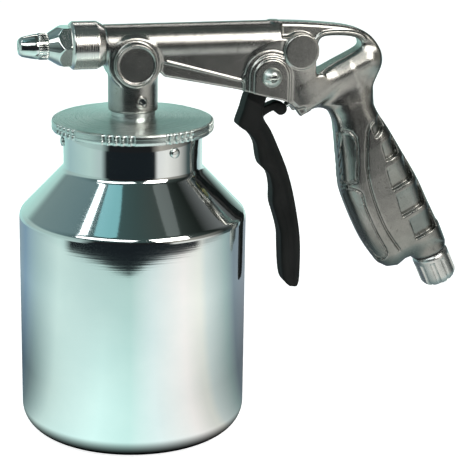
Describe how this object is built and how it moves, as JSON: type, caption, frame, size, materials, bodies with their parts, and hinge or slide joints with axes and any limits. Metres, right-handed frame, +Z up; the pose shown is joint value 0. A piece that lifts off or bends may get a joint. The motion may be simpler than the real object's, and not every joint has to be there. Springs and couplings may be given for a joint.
{
  "type": "suction feed spray gun",
  "caption": "Hand-held air spray gun with a trigger valve, an adjustable nozzle, a hanging eye and a round metal paint cup under a quarter-turn lid.",
  "frame": {"origin": "centre of the flat face under the paint cup", "axes": "+Z up along the cup's axis, spray axis along -X, handle towards +X, the gun's plane of symmetry at Y = 0"},
  "size_m": [0.2197, 0.108, 0.1989],
  "materials": {
    "cup_metal": "polished",
    "lid_metal": "satin",
    "cast_metal": "satin",
    "turned_metal": "polished",
    "inlet_metal": "satin",
    "screw_steel": "polished",
    "brass": "satin",
    "black_rubber": "matte",
    "black_plastic": "matte"
  },
  "bodies": {
    "cup": {"cup": "cup_metal", "cup_pins": "screw_steel"},
    "gun": {"lid": "lid_metal", "lid_gasket": "black_rubber", "stem_ring": "screw_steel", "stem_screw": "screw_steel", "pickup_tube": "inlet_metal", "tube_nut": "inlet_metal", "gun_body": "cast_metal", "nozzle_collar": "turned_metal", "nozzle_body": "turned_metal", "air_tube": "brass", "trigger_screw": "screw_steel", "trigger_nut": "screw_steel", "valve_gland": "brass", "valve_packing": "black_rubber", "valve_seat": "brass", "valve_spring": "screw_steel", "inlet_seal": "black_rubber", "air_inlet": "inlet_metal"},
    "tip_ring": {"tip_seal": "black_rubber"},
    "tip": {"spray_tip": "turned_metal"},
    "trigger": {"trigger": "black_plastic"},
    "valve": {"valve_rod": "screw_steel"}
  },
  "joints": [
    {"name": "lid_turn", "type": "hinge", "parent": "cup", "child": "gun", "pos_m": [0, 0, 0.1484], "axis": [0, 0, 1], "range_deg": [0, 40]},
    {"name": "trigger_pull", "type": "hinge", "parent": "gun", "child": "trigger", "pos_m": [0.0645, 0, 0.1716], "axis": [0, -1, 0], "range_deg": [0, 15], "stiffness_Nm_per_rad": 0.8, "springref_deg": -8.59},
    {"name": "valve_slide", "type": "slide", "parent": "gun", "child": "valve", "axis": [0.8988, 0, 0.4384], "range_m": [0, 0.005], "deforming": ["valve_spring"]},
    {"name": "tip_advance", "type": "slide", "parent": "gun", "child": "tip_ring", "axis": [-1, 0, 0], "range_m": [0, 0.001]},
    {"name": "tip_turn", "type": "hinge", "parent": "tip_ring", "child": "tip", "pos_m": [-0.0436, 0, 0.1877], "axis": [-1, 0, 0], "range_deg": [0, 360]}
  ],
  "couplings": [
    {"joint": "valve_slide", "follows": "trigger_pull", "m_per_rad": 0.01863},
    {"joint": "tip_advance", "follows": "tip_turn", "m_per_rad": 0.00015915}
  ]
}
